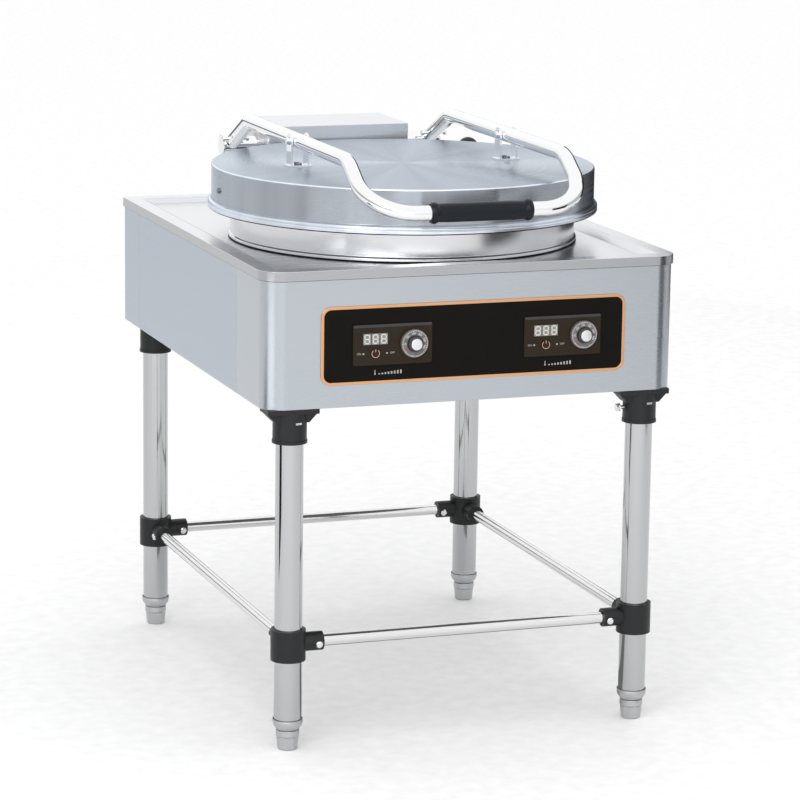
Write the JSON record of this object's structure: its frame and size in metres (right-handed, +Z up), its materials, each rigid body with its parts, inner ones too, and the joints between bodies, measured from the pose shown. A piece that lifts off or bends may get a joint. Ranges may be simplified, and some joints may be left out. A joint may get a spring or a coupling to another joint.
{
  "type": "electric pancake pan",
  "caption": "Floor-standing electric griddle: a round heated pan in a stainless cabinet on braced legs, with a round heated lid on a hinged tube frame.",
  "frame": {"origin": "on the floor under the middle of the object's outer box", "axes": "+X to the right seen from the front, +Y to the back, +Z up; the front faces -Y"},
  "size_m": [0.71, 0.925, 0.959],
  "materials": {
    "stainless_tube": "satin polished tube",
    "black_fitting": "matt",
    "fastener": "bright zinc",
    "grey_foot": "satin",
    "stainless_sheet": "fine brushed sheet",
    "black_panel": "satin",
    "copper_trim": "satin copper",
    "display_glass": "dark red tinted",
    "dial_silver": "silver with a white cap",
    "component_grey": "moulded",
    "terminal_cream": "moulded",
    "black_plastic": "satin",
    "cast_plate": "dark non-stick coating",
    "heating_rod": "dull",
    "insulation": "mineral wool",
    "chromed_steel": "bright",
    "bronze_bush": "sintered",
    "spring_steel": "oiled"
  },
  "bodies": {
    "cabinet": {"leg_front_left": "stainless_tube", "leg_front_right": "stainless_tube", "leg_rear_left": "stainless_tube", "leg_rear_right": "stainless_tube", "leg_sockets": "black_fitting", "leg_screws": "fastener", "brace_clamp_front_left": "black_fitting", "brace_clamp_front_right": "black_fitting", "brace_clamp_rear_left": "black_fitting", "brace_clamp_rear_right": "black_fitting", "brace_front": "stainless_tube", "brace_rear": "stainless_tube", "brace_left": "stainless_tube", "brace_right": "stainless_tube", "clamp_bolts": "fastener", "foot_inserts": "grey_foot", "worktop": "stainless_sheet", "front_panel": "stainless_sheet", "side_panel_left": "stainless_sheet", "side_panel_right": "stainless_sheet", "rear_panel": "stainless_sheet", "base_plate": "stainless_sheet", "fascia": "black_panel", "fascia_trim": "copper_trim", "controller_left": "black_panel", "controller_right": "black_panel", "display_windows": "display_glass", "contactors": "component_grey", "terminal_block": "terminal_cream", "cable_gland": "black_plastic", "lead_riser": "black_plastic", "lower_pan": "cast_plate", "pan_ring": "stainless_sheet", "lower_element": "heating_rod", "lower_insulation": "insulation", "heat_tray": "stainless_sheet", "hinge_box": "stainless_sheet", "hinge_bushes": "bronze_bush", "balance_springs": "spring_steel"},
    "lid_frame": {"arm_tube": "chromed_steel", "grip": "black_plastic", "hinge_shaft": "chromed_steel", "shaft_discs": "chromed_steel", "cross_bolts": "fastener", "pivot_bolts": "fastener"},
    "lid": {"lid_cover": "stainless_sheet", "lid_closing_ring": "stainless_sheet", "upper_plate": "cast_plate", "upper_element": "heating_rod", "upper_insulation": "insulation", "lid_saddles": "chromed_steel", "lid_screws": "fastener"},
    "power_key_left_body": {"power_key_left": "black_panel"},
    "power_key_right_body": {"power_key_right": "black_panel"},
    "dial_knob_left_body": {"dial_knob_left": "dial_silver"},
    "dial_knob_right_body": {"dial_knob_right": "dial_silver"},
    "foot_front_left_body": {"foot_front_left": "grey_foot"},
    "foot_front_right_body": {"foot_front_right": "grey_foot"},
    "foot_rear_left_body": {"foot_rear_left": "grey_foot"},
    "foot_rear_right_body": {"foot_rear_right": "grey_foot"}
  },
  "joints": [
    {"name": "lid_hinge", "type": "hinge", "parent": "cabinet", "child": "lid_frame", "pos_m": [0, 0.32, 0.891], "axis": [-1, 0, 0], "range_deg": [0, 80], "stiffness_Nm_per_rad": 40, "springref_deg": 91.67},
    {"name": "lid_float", "type": "hinge", "parent": "lid_frame", "child": "lid", "pos_m": [0, -0.072, 0.946], "axis": [-1, 0, 0], "range_deg": [-1.5, 1.5]},
    {"name": "dial_turn_left", "type": "hinge", "parent": "cabinet", "child": "dial_knob_left_body", "pos_m": [-0.1055, -0.433, 0.6645], "axis": [0, 1, 0], "range_deg": [0, 280]},
    {"name": "dial_turn_right", "type": "hinge", "parent": "cabinet", "child": "dial_knob_right_body", "pos_m": [0.1855, -0.433, 0.6645], "axis": [0, 1, 0], "range_deg": [0, 280]},
    {"name": "power_press_left", "type": "slide", "parent": "cabinet", "child": "power_key_left_body", "axis": [0, 1, 0], "range_m": [0, 0.001], "stiffness_N_per_m": 1500},
    {"name": "power_press_right", "type": "slide", "parent": "cabinet", "child": "power_key_right_body", "axis": [0, 1, 0], "range_m": [0, 0.001], "stiffness_N_per_m": 1500},
    {"name": "foot_level_front_left", "type": "slide", "parent": "cabinet", "child": "foot_front_left_body", "axis": [0, 0, -1], "range_m": [0, 0.025]},
    {"name": "foot_level_front_right", "type": "slide", "parent": "cabinet", "child": "foot_front_right_body", "axis": [0, 0, -1], "range_m": [0, 0.025]},
    {"name": "foot_level_rear_left", "type": "slide", "parent": "cabinet", "child": "foot_rear_left_body", "axis": [0, 0, -1], "range_m": [0, 0.025]},
    {"name": "foot_level_rear_right", "type": "slide", "parent": "cabinet", "child": "foot_rear_right_body", "axis": [0, 0, -1], "range_m": [0, 0.025]}
  ]
}
